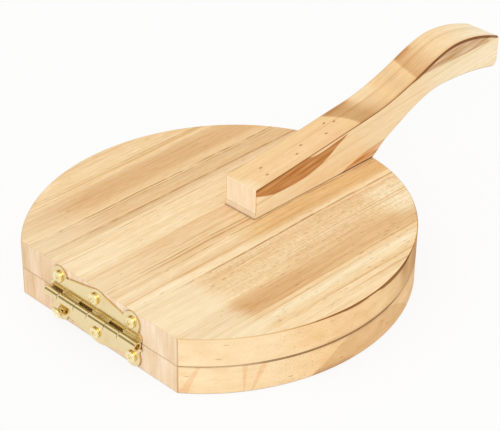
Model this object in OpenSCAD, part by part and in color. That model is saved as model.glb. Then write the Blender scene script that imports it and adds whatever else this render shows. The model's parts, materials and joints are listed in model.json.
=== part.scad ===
// Small wooden tortilla press: two oval wooden plates joined at a flat edge by a
// brass butterfly hinge, with a swan-neck lever handle screwed to the lid.
// +Z is up, the hinge is at +Y and the handle points towards -Y.
// The origin is the centre of the oval, on the underside of the base.

/* [Plates] */
// Width of both plates, along the hinge line
plate_w = 132; // [90:1:180]
// Length of a plate, from its flat hinge edge to the far rim
plate_l = 130; // [104:1:180]
// Length of the piece cut off the oval to make the flat hinge edge
hinge_cut = 14; // [8:0.5:18]
// Thickness of the base plate
base_t = 11; // [9:0.5:20]
// Thickness of the lid plate
lid_t = 11; // [9:0.5:20]
// Rounding of the plates' edges
plate_ease = 0.6; // [0.2:0.1:1.5]

/* [Handle outline] */
// Length of the handle's foot on the lid, measured in from the rim
foot_l = 63.3; // [58:0.1:100]
// Reach of the grip beyond the rim
grip_reach = 72; // [62:1:120]
// Height of the handle above the lid at its inner end
front_h = 11.6; // [10:0.1:16]
// Height of the handle's top above the lid, just inside the rim
rim_h = 18; // [16:0.5:21]
// Distance of the neck, the steepest place of the top, beyond the rim
neck_at = 26; // [20:1:32]
// Height of the handle's top above the lid, at the neck
neck_h = 26; // [24:0.5:28]
// Distance of the crest beyond the rim
crest_at = 46; // [42:1:54]
// Height of the crest above the lid
crest_h = 31.2; // [29:0.2:36]
// Height of the top of the tip above the lid
tip_top_h = 25.8; // [23:0.1:28]
// Height of the underside of the tip above the lid
tip_low_h = 12.8; // [11:0.1:16]
// Radius of the tip's lower corner
tip_r = 2.4; // [1:0.1:5]
// Radius of the tip's upper corner
brow_r = 2; // [0.8:0.1:3]
// Distance of the top of the steep heel beyond the rim
heel_at = 6.3; // [5:0.1:9]
// Height of the top of the heel above the lid
heel_h = 5.1; // [4:0.1:8]
// Distance of the underside's highest point beyond the rim
arch_at = 38; // [30:1:44]
// Height of the underside's highest point above the lid
arch_h = 16.5; // [14:0.2:19]

/* [Handle section] */
// Width of the handle, which is sawn from one board
handle_w = 15; // [12:0.5:30]
// Rounding of the handle's long edges
handle_ease = 0.6; // [0.3:0.1:2]
// Height of the toe, the flare at the foot's inner end
toe_h = 2.3; // [1:0.1:4]
// How far the toe stands out from the handle's inner end
toe_out = 0.8; // [0.4:0.1:2]
// Distance of the foot's outer end from the rim
foot_inset = 0.5; // [0.4:0.1:3]

/* [Hinge leaves] */
// Length of the hinge, along the pin
hinge_l = 45.6; // [40:0.2:52]
// Thickness of the brass sheet
sheet_t = 0.75; // [0.5:0.05:1]
// Distance between the leaves' edges and the plates' outer faces
leaf_margin = 0.3; // [0.1:0.1:1.5]
// Radius of the round lugs at the leaves' corners
lug_r = 3.85; // [3:0.05:4.5]
// Distance of the outer screws from the ends of the leaves
lug_inset = 4.7; // [4.2:0.1:6]
// Depth of the valleys between the lugs and the middle peak
valley_d = 2.9; // [1:0.1:3.5]

/* [Hinge barrel] */
// Diameter of the hinge pin
pin_d = 1.9; // [1.5:0.1:2.4]
// Running clearance of the pin, on the radius
pin_clear = 0.05; // [0.02:0.01:0.1]
// How far the pin's ends lie inside the barrel
pin_recess = 1.1; // [0.3:0.1:3]
// Air between the barrel and the plates' flat edges
barrel_air = 0.5; // [0.3:0.05:1]
// Number of knuckles on each leaf
leaf_knuckles = 3; // [2:1:4]
// Width of a knuckle of the lower leaf
low_knuckle_w = 6.4; // [4.5:0.1:7.5]
// Air between neighbouring knuckles
knuckle_air = 0.25; // [0.15:0.05:0.5]

/* [Hinge screws] */
// Diameter of the domed screw heads
dome_d = 4.4; // [3.4:0.1:5.2]
// Height of the domed screw heads above the leaf
dome_h = 1.2; // [0.8:0.1:1.3]
// Diameter of the hinge screws' shanks
shank_d = 2; // [1.4:0.1:2.6]
// Length of the hinge screws below the head
shank_l = 10; // [6:0.5:16]
// How far the lower left hinge screw stands out, as it isn't driven home
loose_out = 1.4; // [0:0.1:1.5]
// Angle at which the lower left hinge screw is driven, its head pointing down
loose_tilt = 15; // [0:1:15]

/* [Handle screws] */
// Distance of the inner handle screw from the handle's inner end
inner_screw_in = 14; // [10:1:24]
// Distance of the outer handle screw from the rim
outer_screw_at = 16; // [10:1:28]
// Diameter of the handle screws' shanks
wood_screw_d = 3.5; // [2.5:0.1:4.5]
// Diameter of the handle screws' countersunk heads
sunk_head_d = 7; // [6:0.1:8]
// Depth of the countersunk heads below the pressing face
head_sink = 0.3; // [0.2:0.05:1]
// Length of the handle screws' grip in the handle
screw_bite = 8.5; // [5:0.5:9]

/* [Hidden] */

$fn = 48;
fit = 0.05;          // clearance of a screw in its hole in the wood, on the radius
leaf_hole_air = 0.15; // clearance of a screw in a leaf, on the radius
hole_over = 0.5;     // how much deeper a hole is than its screw
eps = 0.02;          // overrun of cuts
ease_steps = 3;      // facets of a rounded edge
oval_steps = 116;    // facets of a plate's rim
sweep_steps = 9;     // facets of each sweep of the handle

// Slopes of the handle's outline where its sweeps join, height over length
front_slope = 0.09;
shoulder_slope = 0.11;
neck_slope = 0.41;
tip_top_slope = -0.4;
tip_low_slope = -0.24;
foot_slope = 0.6;
heel_slope = 0.55;   // where the heel ends
belly_slope = 0.5;   // where the underside leaves the heel
shoulder_at = -4;    // distance of the shoulder beyond the rim

// Edge of a leaf between the barrel and a lug, as shares of the bare height
waist_share = 0.18;  // straight up to here
flare_share = 0.44;  // flared out to the lug here
flare_reach = 0.86;  // how far out, as a share of the lug's radius
lug_angle = 20;      // where the flare meets the lug, below its middle
valley_gap = 0.85;   // from the lug to the lowest point of the valley

// Driver recesses, as shares of the head's diameter and height
dome_cross = [0.55, 0.7];
sunk_cross = 0.6;
sunk_cross_d = 1.8;  // depth in the countersunk heads
dome_rim = 0.4;      // straight rim under a dome, as a share of its height

wood = [0.93, 0.80, 0.58];
brass = [0.86, 0.72, 0.36];
steel = [0.70, 0.70, 0.72];

seam_z = base_t;                     // where the two plates meet
lid_top = base_t + lid_t;            // upper face of the lid
oval_l = plate_l + hinge_cut;        // the whole oval that the plates are cut from
rim_y = -oval_l / 2;                 // the rim under the handle
flat_y = plate_l + rim_y;            // the flat hinge edge
flat_angle = asin(-flat_y / rim_y);  // where the flat cuts the oval

bore_r = pin_d / 2 + pin_clear;
barrel_r = bore_r + sheet_t;
pin_out = barrel_air + barrel_r;     // from the flat edge to the pin's axis
pin_y = flat_y + pin_out;
half_l = hinge_l / 2;
lug_at = half_l - lug_inset;         // the outer screws, from the hinge's middle
air_l = (2 * leaf_knuckles - 1) * knuckle_air;
up_knuckle_w = (hinge_l - air_l) / leaf_knuckles - low_knuckle_w;
knuckle_pitch = low_knuckle_w + up_knuckle_w + 2 * knuckle_air;
low_screw_h = base_t - leaf_margin - lug_r; // below the pin
up_screw_h = lid_t - leaf_margin - lug_r;   // above the pin
inner_screw_at = foot_l - inner_screw_in;   // in from the rim

// ---- Curves and outlines

function unit(v) = v / norm(v);

function rest(list) = [for (i = [1:len(list) - 1]) list[i]];

// Arc about c, counter-clockwise from angle a0 to a1
function arc(c, r, a0, a1, n) =
    [for (i = [0:n]) let (a = a0 + (a1 - a0) * i / n) c + r * [cos(a), sin(a)]];

// Cubic curve from p to q that leaves p at slope sp and reaches q at slope sq
function sweep(p, q, sp, sq) =
    let (third = (q[0] - p[0]) / 3, a = p + third * [1, sp], b = q - third * [1, sq])
    [for (i = [0:sweep_steps])
        let (t = i / sweep_steps, u = 1 - t)
        u * u * u * p + 3 * u * u * t * a + 3 * u * t * t * b + t * t * t * q];

// A counter-clockwise outline moved inwards by d, with mitred corners
function inset(outline, d) =
    let (n = len(outline))
    [for (i = [0:n - 1])
        let (
            p = outline[i],
            a = unit(p - outline[(i + n - 1) % n]),
            b = unit(outline[(i + 1) % n] - p),
            na = [-a[1], a[0]],
            nb = [-b[1], b[0]]
        )
        p + d * (na + nb) / (1 + na * nb)];

// Above 0 where p is on the left of the line from a to b
function left(a, b, p) = (b[0] - a[0]) * (p[1] - a[1]) - (b[1] - a[1]) * (p[0] - a[0]);

// Place in ids of the first corner, from k on, that can be cut off as a triangle of its own
function ear(outline, ids, k = 0) =
    let (
        n = len(ids),
        t = [for (i = [n - 1, 0, 1]) ids[(k + i) % n]],
        a = outline[t[0]],
        b = outline[t[1]],
        c = outline[t[2]],
        others = [for (m = ids) if (m != t[0] && m != t[1] && m != t[2]) outline[m]],
        within = [for (p = others) if (left(a, b, p) >= 0 && left(b, c, p) >= 0 && left(c, a, p) >= 0) p]
    )
    (left(a, b, c) > 0 && len(within) == 0) || k == n - 1 ? k : ear(outline, ids, k + 1);

// Triangles that fill a counter-clockwise outline, which may turn inwards
function filled(outline, ids) =
    let (n = len(ids), k = n > 3 ? ear(outline, ids) : 1)
    n == 3 ? [ids] : concat(
        [[for (i = [n - 1, 0, 1]) ids[(k + i) % n]]],
        filled(outline, [for (m = [0:n - 1]) if (m != k) ids[m]]));

// The oval, cut off straight at the hinge edge
plate_outline = [for (i = [0:oval_steps])
    let (a = 180 - flat_angle + (180 + 2 * flat_angle) * i / oval_steps)
    [plate_w / 2 * cos(a), oval_l / 2 * sin(a)]];

// Side view of the handle: distance beyond the rim, height above the lid
foot_front = [-foot_l, 0];
end_x = toe_out - foot_l;
foot_back = [-foot_inset, 0];
heel = [heel_at, heel_h];
arch = [arch_at, arch_h];
tip_low = [grip_reach - tip_r, tip_low_h];
brow_angle = 90 + atan(tip_top_slope); // where the upper corner's arc meets the top
brow = [grip_reach - brow_r, tip_top_h - brow_r * sin(brow_angle)];
tip_top = brow + brow_r * [cos(brow_angle), sin(brow_angle)];
crest = [crest_at, crest_h];
neck = [neck_at, neck_h];
shoulder = [shoulder_at, rim_h];
front = [end_x, front_h];
handle_outline = concat(
    [foot_front],
    sweep(foot_back, heel, foot_slope, heel_slope),
    rest(sweep(heel, arch, belly_slope, 0)),
    rest(sweep(arch, tip_low, 0, tip_low_slope)),
    rest(arc(tip_low + [0, tip_r], tip_r, -90, 0, 5)),
    arc(brow, brow_r, 0, brow_angle, 4),
    rest(sweep(tip_top, crest, tip_top_slope, 0)),
    rest(sweep(crest, neck, 0, neck_slope)),
    rest(sweep(neck, shoulder, neck_slope, shoulder_slope)),
    rest(sweep(shoulder, front, shoulder_slope, front_slope)),
    [[end_x, toe_h]]
);

// Prism on an outline, with the edges of both its ends rounded
module eased_prism(outline, h, ease) {
    n = len(outline);
    turns = [for (k = [0:ease_steps]) 90 * k / ease_steps];
    low = [for (a = turns) ease * [1 - sin(a), 1 - cos(a)]];
    high = [for (k = [ease_steps:-1:0]) [low[k][0], h - low[k][1]]];
    rings = concat(low, high);
    last = len(rings) - 1;
    points = [for (r = rings) for (p = inset(outline, r[0])) [p[0], p[1], r[1]]];
    sides = [for (k = [0:last - 1]) for (i = [0:n - 1])
        let (j = (i + 1) % n) [k * n + i, (k + 1) * n + i, (k + 1) * n + j, k * n + j]];
    bottom = filled(inset(outline, ease), [for (i = [0:n - 1]) i]);
    top = [for (t = bottom) [for (i = [2:-1:0]) last * n + t[i]]];
    polyhedron(points, concat(bottom, top, sides), convexity = 4);
}

// ---- Wooden pieces

// Place and direction of a hinge screw: the middle of the leaf's hole is the
// origin, and the screw's head lies along +Z, tilted down by the given angle
module hinge_screw_axis(x, z, tilt = 0) {
    translate([x, flat_y + sheet_t / 2, z]) rotate([-90 - tilt, 0, 0]) children();
}

// Hole for a hinge screw, drilled into a flat edge along the screw's axis
module hinge_screw_hole(out = 0) {
    depth = shank_l - sheet_t / 2 - out + hole_over;
    translate([0, 0, -depth]) cylinder(h = depth + sheet_t, r = shank_d / 2 + fit);
}

module base_plate() {
    color(wood)
    difference() {
        eased_prism(plate_outline, base_t, plate_ease);
        for (x = [-lug_at, 0]) hinge_screw_axis(x, seam_z - low_screw_h) hinge_screw_hole();
        hinge_screw_axis(lug_at, seam_z - low_screw_h, loose_tilt) hinge_screw_hole(loose_out);
    }
}

module lid_plate() {
    color(wood)
    difference() {
        translate([0, 0, seam_z]) eased_prism(plate_outline, lid_t, plate_ease);
        for (x = [-lug_at, 0, lug_at])
            hinge_screw_axis(x, seam_z + up_screw_h) hinge_screw_hole();
        for (d = [inner_screw_at, outer_screw_at])
            translate([0, rim_y + d, seam_z]) {
                translate([0, 0, -eps]) cylinder(h = lid_t + 2 * eps, r = wood_screw_d / 2 + fit);
                translate([0, 0, -eps]) cylinder(h = head_sink + 2 * eps, r = sunk_head_d / 2 + fit);
                translate([0, 0, head_sink]) sunk_cone(fit);
            }
    }
}

module handle() {
    color(wood)
    difference() {
        translate([handle_w / 2, rim_y, lid_top])
            rotate([90, 0, -90])
            eased_prism(handle_outline, handle_w, handle_ease);
        for (d = [inner_screw_at, outer_screw_at])
            translate([0, rim_y + d, lid_top - eps])
            cylinder(h = screw_bite + hole_over + eps, r = wood_screw_d / 2 + fit);
    }
}

// ---- Hinge

// Flat part of a leaf of height h, standing on the hinge line, seen from outside
module leaf_outline(h) {
    screw_h = h - lug_r;
    bare = screw_h - barrel_r;
    side = [
        [half_l, barrel_r],
        [half_l, barrel_r + waist_share * bare],
        [lug_at + flare_reach * lug_r, barrel_r + flare_share * bare],
        [lug_at, screw_h] + lug_r * [cos(lug_angle), -sin(lug_angle)],
        [lug_at, screw_h],
        [lug_at - lug_r - valley_gap, h - valley_d],
    ];
    difference() {
        union() {
            polygon(concat(side, [[0, h]], [for (i = [5:-1:0]) [-side[i][0], side[i][1]]]));
            for (x = [-lug_at, lug_at]) translate([x, screw_h]) circle(lug_r);
        }
        for (x = [-lug_at, 0, lug_at])
            translate([x, screw_h]) circle(shank_d / 2 + leaf_hole_air);
    }
}

// Section of a knuckle: the sheet bends away from the wood and rolls round the pin
module knuckle_section() {
    mid_r = bore_r + 0.7 * sheet_t;
    axis = [pin_out, 0];
    difference() {
        union() {
            translate(axis) circle(barrel_r);
            polygon([
                [0, barrel_r + sheet_t],
                [0, barrel_r],
                axis - [mid_r, 0],
                axis + mid_r * [-cos(50), sin(50)],
                [sheet_t, barrel_r],
                [sheet_t, barrel_r + sheet_t],
            ]);
        }
        translate(axis) circle(bore_r);
    }
}

// A leaf of height h above the pin, with knuckles of width w, the first one
// starting at x = first and each further one a pitch towards -X
module leaf(h, first, w) {
    translate([0, sheet_t, 0]) rotate([90, 0, 0]) linear_extrude(sheet_t) leaf_outline(h);
    for (i = [0:leaf_knuckles - 1])
        translate([first - w - i * knuckle_pitch, 0, 0])
        rotate([90, 0, 90])
        linear_extrude(w)
        knuckle_section();
}

module hinge_leaf_lower() {
    color(brass)
    translate([0, flat_y, seam_z])
    mirror([0, 0, 1])
    leaf(base_t - leaf_margin, half_l, low_knuckle_w);
}

module hinge_leaf_upper() {
    color(brass)
    translate([0, flat_y, seam_z])
    leaf(lid_t - leaf_margin, half_l - low_knuckle_w - knuckle_air, up_knuckle_w);
}

module hinge_pin() {
    tip = 0.25;
    color(brass)
    translate([0, pin_y, seam_z])
    rotate([0, 90, 0])
    for (side = [0, 1]) mirror([0, 0, side]) {
        cylinder(h = half_l - pin_recess - tip, d = pin_d);
        translate([0, 0, half_l - pin_recess - tip])
            cylinder(h = tip, r1 = pin_d / 2, r2 = pin_d / 2 - tip);
    }
}

// ---- Screws

// Cross-shaped driver recess of width w and depth d, opening at z = 0
module cross_recess(w, d) {
    slot = 0.22 * w;
    translate([0, 0, -d])
    intersection() {
        union() {
            translate([-w / 2, -slot / 2, 0]) cube([w, slot, d + eps]);
            translate([-slot / 2, -w / 2, 0]) cube([slot, w, d + eps]);
        }
        cylinder(h = d + eps, d1 = 0.45 * w, d2 = w);
    }
}

// Shank that hangs from z = 0 and ends in a point
module shank(d, l) {
    point = 1.2 * d;
    translate([0, 0, point - l]) cylinder(h = l - point, d = d);
    translate([0, 0, -l]) cylinder(h = point, d1 = 0.1 * d, d2 = d);
}

// Domed hinge screw, its head's underside at z = 0
module dome_screw() {
    rim = dome_rim * dome_h;
    cap = dome_h - rim;
    ball_r = (dome_d * dome_d / 4 + cap * cap) / (2 * cap);
    difference() {
        union() {
            shank(shank_d, shank_l);
            cylinder(h = rim, d = dome_d);
            intersection() {
                translate([0, 0, dome_h - ball_r]) sphere(ball_r);
                cylinder(h = dome_h + eps, d = dome_d);
            }
        }
        translate([0, 0, dome_h]) cross_recess(dome_cross[0] * dome_d, dome_cross[1] * dome_h);
    }
}

// One of the six hinge screws: x along the hinge, z up, out of its seat by out
// and tilted down by tilt
module hinge_screw(x, z, out = 0, tilt = 0) {
    color(brass)
    hinge_screw_axis(x, z, tilt)
    translate([0, 0, sheet_t / 2 + out])
    dome_screw();
}

// Cone of a countersunk head that narrows upwards from z = 0, grown by air
module sunk_cone(air) {
    depth = (sunk_head_d - wood_screw_d) / 2;
    cylinder(h = depth, r1 = sunk_head_d / 2 + air, r2 = wood_screw_d / 2 + air);
}

// Handle screw, driven up through the lid: d is its distance from the rim
module handle_screw(d) {
    color(steel)
    translate([0, rim_y + d, seam_z + head_sink])
    difference() {
        union() {
            sunk_cone(0);
            rotate([180, 0, 0]) shank(wood_screw_d, lid_t - head_sink + screw_bite);
        }
        rotate([180, 0, 0]) cross_recess(sunk_cross * sunk_head_d, sunk_cross_d);
    }
}

module lower_screw_left() hinge_screw(lug_at, seam_z - low_screw_h, loose_out, loose_tilt);
module lower_screw_centre() hinge_screw(0, seam_z - low_screw_h);
module lower_screw_right() hinge_screw(-lug_at, seam_z - low_screw_h);
module upper_screw_left() hinge_screw(lug_at, seam_z + up_screw_h);
module upper_screw_centre() hinge_screw(0, seam_z + up_screw_h);
module upper_screw_right() hinge_screw(-lug_at, seam_z + up_screw_h);
module handle_screw_inner() handle_screw(inner_screw_at);
module handle_screw_outer() handle_screw(outer_screw_at);

base_plate();
lid_plate();
handle();
hinge_leaf_lower();
hinge_leaf_upper();
hinge_pin();
lower_screw_left();
lower_screw_centre();
lower_screw_right();
upper_screw_left();
upper_screw_centre();
upper_screw_right();
handle_screw_inner();
handle_screw_outer();
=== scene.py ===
"""Looks of the wooden tortilla press: pale pine boards, a swan-neck handle and a brass butterfly hinge.

Everything is in the row frame: +Z up, the hinge at +Y, the handle towards -Y. Sizes are in millimetres
as in the CAD model, and are turned into metres where a mesh is made.
"""

import json
import math

import bmesh
import bpy
from mathutils import Matrix, Vector

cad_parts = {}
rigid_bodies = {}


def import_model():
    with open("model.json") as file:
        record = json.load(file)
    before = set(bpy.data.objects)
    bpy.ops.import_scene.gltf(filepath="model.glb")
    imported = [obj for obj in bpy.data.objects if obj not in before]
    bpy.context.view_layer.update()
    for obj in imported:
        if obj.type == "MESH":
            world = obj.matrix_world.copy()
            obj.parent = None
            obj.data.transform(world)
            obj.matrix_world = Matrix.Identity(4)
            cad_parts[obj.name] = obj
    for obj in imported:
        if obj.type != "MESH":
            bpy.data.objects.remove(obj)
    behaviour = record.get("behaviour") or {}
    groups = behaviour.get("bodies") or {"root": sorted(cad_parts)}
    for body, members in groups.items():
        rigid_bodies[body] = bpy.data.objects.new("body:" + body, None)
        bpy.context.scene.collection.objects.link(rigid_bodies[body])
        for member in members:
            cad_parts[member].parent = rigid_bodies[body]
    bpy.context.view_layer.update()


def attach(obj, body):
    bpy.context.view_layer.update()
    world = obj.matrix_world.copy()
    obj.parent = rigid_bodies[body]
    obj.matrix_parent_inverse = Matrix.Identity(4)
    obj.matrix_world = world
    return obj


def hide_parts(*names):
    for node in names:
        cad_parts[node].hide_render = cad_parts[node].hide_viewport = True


for leftover in list(bpy.data.objects):
    bpy.data.objects.remove(leftover)

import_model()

MM = 0.001
TINY = 1e-6
NEAR = 0.01     # lengths that differ by less, in millimetres, are the same

# ---- Sizes of the CAD model, in millimetres

PLATE_W = 132.0
PLATE_L = 130.0
OVAL_L = 144.0
BOARD_T = 11.0
LID_TOP = 2 * BOARD_T
RIM_Y = -OVAL_L / 2
FLAT_Y = PLATE_L + RIM_Y
SEAM_Z = BOARD_T

HANDLE_W = 15.0
FOOT_L = 63.3           # from the rim to the handle's inner end
TOE_OUT = 0.8
GRIP_REACH = 72.0       # from the rim to the handle's tip

HINGE_L = 45.6
SHEET_T = 0.75
LEAF_MARGIN = 0.3
LUG_R = 3.85
LUG_AT = 18.1
VALLEY_D = 2.9
VALLEY_GAP = 0.85
PIN_R = 0.95
BORE_R = 1.0
BARREL_R = 1.75
PIN_OUT = 2.25
PIN_RECESS = 1.1
LOW_KNUCKLE_W = 6.4
KNUCKLES = 3
KNUCKLE_AIR = 0.16      # narrower than the CAD's 0.25, as in the photograph
KNUCKLE_SHIFT = 0.05    # the upper knuckles lie against their neighbours on one side
KNUCKLE_PITCH = (HINGE_L + KNUCKLE_AIR) / KNUCKLES
LEAF_H = BOARD_T - LEAF_MARGIN
SCREW_H = LEAF_H - LUG_R
LEAF_HOLE_R = 1.15
HOLE_GAP = 0.05         # air round a screw in the wood

DOME_D = 4.4
DOME_H = 1.2
SHANK_R = 1.0
SHANK_L = 10.0
WOOD_SCREW_R = 1.75
SUNK_HEAD_R = 3.5
SUNK_HEAD_H = SUNK_HEAD_R - WOOD_SCREW_R
HEAD_SINK = 0.3
SCREW_BITE = 8.5
LOOSE_OUT = 1.4         # the lower left hinge screw isn't driven home, and leans
LOOSE_TILT = 15.0
INNER_SCREW_IN = 14.0   # from the handle's inner end
OUTER_SCREW_IN = 16.0   # from the rim
HANDLE_SCREWS_Y = (RIM_Y + FOOT_L - INNER_SCREW_IN, RIM_Y + OUTER_SCREW_IN)

# ---- Colours of the materials, as they are seen on a screen, 0 to 255

PALE = (250, 229, 190)
DUST = (229, 193, 147)
CREAM = (249, 221, 177)
STRAW = (245, 212, 163)
HONEY = (236, 198, 149)
TAN = (229, 187, 135)
BROWN = (221, 174, 121)
AMBER = (212, 168, 115)
APRICOT = (246, 208, 155)
RUST = (190, 129, 74)
# DEEP_SHADE is the brown of painted shade in seams, crevices and along the handle's foot
DEEP_SHADE = (112, 74, 26)
WHITISH = (252, 234, 206)
BRASS = (240, 219, 170)
HEAD_BRASS = (248, 234, 184)
GILT = (226, 194, 120)
# OLIVE_SHADE is the olive of painted shade in the brass's narrowest crevices
OLIVE_SHADE = (128, 104, 48)
DARK_BRASS = (146, 108, 52)
STEEL = (196, 197, 200)
DULL_STEEL = (170, 172, 178)


def linear(colour):
    """A screen colour, 0 to 255, as linear red, green, blue and alpha."""
    parts = [c / 255 for c in colour]
    return (*[p / 12.92 if p <= 0.04045 else ((p + 0.055) / 1.055) ** 2.4 for p in parts], 1.0)


# ---- Shader graphs


class Value:
    """A number that a shader graph works out, with the usual arithmetic."""

    def __init__(self, graph, socket):
        self.graph = graph
        self.socket = socket

    def __add__(self, other):
        return self.graph.math("ADD", self, other)

    def __sub__(self, other):
        return self.graph.math("SUBTRACT", self, other)

    def __rsub__(self, other):
        return self.graph.math("SUBTRACT", other, self)

    def __mul__(self, other):
        return self.graph.math("MULTIPLY", self, other)

    def __truediv__(self, other):
        return self.graph.math("DIVIDE", self, other)

    def __neg__(self):
        return self * -1.0

    def __abs__(self):
        return self.graph.math("ABSOLUTE", self)

    __radd__, __rmul__ = __add__, __mul__


class Graph:
    """Short calls for shader nodes. Where one takes a value, that may be a Value, a socket or a number."""

    def __init__(self, owner):
        """owner is a new material or world, whose nodes are made from nothing."""
        owner.use_nodes = True
        self.owner = owner
        self.tree = owner.node_tree
        self.tree.nodes.clear()

    def put(self, socket, value):
        if isinstance(value, Value):
            value = value.socket
        if isinstance(value, bpy.types.NodeSocket):
            self.tree.links.new(value, socket)
        else:
            socket.default_value = value

    def node(self, kind, inputs=(), **settings):
        made = self.tree.nodes.new(kind)
        for name, value in settings.items():
            setattr(made, name, value)
        for name, value in dict(inputs).items():
            self.put(made.inputs[name], value)
        return made

    def math(self, operation, *values):
        made = self.node("ShaderNodeMath", operation=operation)
        for socket, value in zip(made.inputs, values):
            self.put(socket, value)
        return Value(self, made.outputs[0])

    def either(self, *values):
        """The largest of the values."""
        largest = values[0]
        for value in values[1:]:
            largest = self.math("MAXIMUM", largest, value)
        return largest

    def between(self, share, a, b):
        """a where share is 0, b where it is 1."""
        return (1.0 - share) * a + share * b

    def rise(self, value, low, high):
        """0 below low, 1 above high, smooth in between."""
        made = self.node("ShaderNodeMapRange", interpolation_type="SMOOTHSTEP")
        for name, given in (("Value", value), ("From Min", low), ("From Max", high)):
            self.put(made.inputs[name], given)
        return Value(self, made.outputs["Result"])

    def fall(self, value, low, high):
        """1 below low, 0 above high, smooth in between."""
        return 1.0 - self.rise(value, low, high)

    def within(self, value, low, high, soft):
        """1 between low and high, with soft shoulders inside them."""
        return self.rise(value, low, low + soft) * self.fall(value, high - soft, high)

    def vector(self, x, y, z):
        return self.node("ShaderNodeCombineXYZ", {"X": x, "Y": y, "Z": z}).outputs[0]

    def apart(self, vector):
        parts = self.node("ShaderNodeSeparateXYZ", {"Vector": vector}).outputs
        return [Value(self, parts[axis]) for axis in "XYZ"]

    def place(self):
        """The place in the piece, in millimetres, which goes along when the piece moves."""
        point = self.node("ShaderNodeTexCoord").outputs["Object"]
        scaled = self.node("ShaderNodeVectorMath", {"Vector": point, "Scale": 1 / MM}, operation="SCALE")
        return self.apart(scaled.outputs[0])

    def normal(self):
        """The surface's own normal, which turns with the piece."""
        return self.apart(self.node("ShaderNodeTexCoord").outputs["Normal"])

    def noise(self, x, y, z, detail=2.0, roughness=0.5):
        """Noise of x, y, z, each already in cycles; about 0.5 on average."""
        vector = self.vector(x, y, z)
        inputs = {"Vector": vector, "Scale": 1.0, "Detail": detail, "Roughness": roughness}
        return Value(self, self.node("ShaderNodeTexNoise", inputs).outputs["Fac"])

    def crevice(self, reach, low, high):
        """1 deep in a corner or gap, 0 in the open, from how much lies nearer than reach millimetres: the
        share of painted shade there.
        """
        open_sky = self.node("ShaderNodeAmbientOcclusion", {"Distance": reach * MM}, samples=8)
        return self.fall(open_sky.outputs["AO"], low, high)

    def mix(self, share, a, b, blend="MIX"):
        made = self.node("ShaderNodeMix", data_type="RGBA", blend_type=blend, clamp_factor=True)
        self.put(made.inputs[0], share)
        self.put(made.inputs[6], a)
        self.put(made.inputs[7], b)
        return made.outputs[2]

    def paint(self, colour, share, over):
        """The screen colour over laid on colour by that share."""
        return self.mix(share, colour, linear(over))

    def stain(self, colour, share, tone):
        """colour multiplied by the screen colour tone, by that share."""
        return self.mix(share, colour, linear(tone), "MULTIPLY")

    def shade(self, colour, value, depth):
        """Makes colour browner where value is over 0.5 and paler where it is under it; the mean stays."""
        swing = (0.5 - value) * depth
        tint = self.node("ShaderNodeVectorMath", operation="MULTIPLY_ADD")
        self.put(tint.inputs[0], self.vector(swing, swing, swing))
        tint.inputs[1].default_value = FIBRE_TINT
        tint.inputs[2].default_value = (1.0, 1.0, 1.0)
        return self.mix(1.0, colour, tint.outputs[0], "MULTIPLY")

    def bands(self, value, stops):
        """Colours laid side by side along value: stops are (place, screen colour), in order."""
        low, high = stops[0][0], stops[-1][0]
        place = self.node("ShaderNodeMapRange", {"Value": value, "From Min": low, "From Max": high})
        ramp = self.node("ShaderNodeValToRGB", {"Fac": place.outputs["Result"]})
        elements = ramp.color_ramp.elements
        for i, (at, colour) in enumerate(stops):
            spot = (at - low) / (high - low)
            element = elements[i] if i < 2 else elements.new(spot)
            element.position = spot
            element.color = linear(colour)
        return ramp.outputs["Color"]

    def line(self, value, points):
        """A smooth line through points (place, height), read at value."""
        low, high = points[0][0], points[-1][0]
        bottom, top = (pick(height for _, height in points) for pick in (min, max))
        place = self.node("ShaderNodeMapRange", {"Value": value, "From Min": low, "From Max": high})
        curve = self.node("ShaderNodeFloatCurve", {"Value": place.outputs["Result"]})
        track = curve.mapping.curves[0]
        spots = [((at - low) / (high - low), (height - bottom) / (top - bottom)) for at, height in points]
        track.points[0].location = spots[0]
        track.points[-1].location = spots[-1]
        for spot in spots[1:-1]:
            track.points.new(*spot)
        curve.mapping.update()
        return Value(self, curve.outputs[0]) * (top - bottom) + bottom

    def finish(self, colour, roughness, height, relief, **settings):
        """Ends the graph in a Principled shader; relief is the bump's depth in millimetres."""
        shader = self.node("ShaderNodeBsdfPrincipled", {"Base Color": colour, "Roughness": roughness})
        for name, value in settings.items():
            shader.inputs[name.replace("_", " ")].default_value = value
        bump = self.node("ShaderNodeBump", {"Height": height, "Strength": 1.0, "Distance": relief * MM})
        self.put(shader.inputs["Normal"], bump.outputs[0])
        return self.output("Material", shader.outputs[0])

    def blend(self, share, a, b):
        """Shader a where share is 0, b where it is 1."""
        made = self.node("ShaderNodeMixShader", {"Fac": share})
        self.put(made.inputs[1], a)
        self.put(made.inputs[2], b)
        return made.outputs[0]

    def output(self, kind, shader):
        """Puts the shader on the surface of the graph's owner, and gives the owner back."""
        self.node("ShaderNodeOutput" + kind, {"Surface": shader})
        return self.owner


def new_graph(name):
    """The graph of a new material."""
    return Graph(bpy.data.materials.new(name))


# ---- Wood

FIBRE_TINT = (0.6, 1.0, 1.7)    # how much red, green and blue follow the fibres
LINE_TONE = (226, 192, 148)
THIN_LINE_TONE = (192, 156, 110)
FLECK_TONE = (166, 112, 72)
EDGE_TONE = (222, 186, 144)
BURN_TONE = (140, 90, 36)
SHADOW_TONE = (146, 112, 24)
CORNER_TONE = (204, 178, 150)
GROOVE = (0.6, 0.45, 0.85)      # painted shade in a crevice of wood: reach, dark below, clear above
RIM_TURN = (0.35, 0.8)          # how level the surface is where a rim ends and a face begins
END_TURN = (0.8, 0.97)          # how square to Y it is where a cut end begins
CORNER_TURN = (0.8, 0.985, 0.04)
WOOD_SHEEN = 0.06
# Colours along the flat face at the hinge
FLAT_BANDS = ((-42, (244, 218, 186)), (-8, (246, 221, 190)), (24, (242, 214, 180)), (42, (236, 207, 172)))


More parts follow.
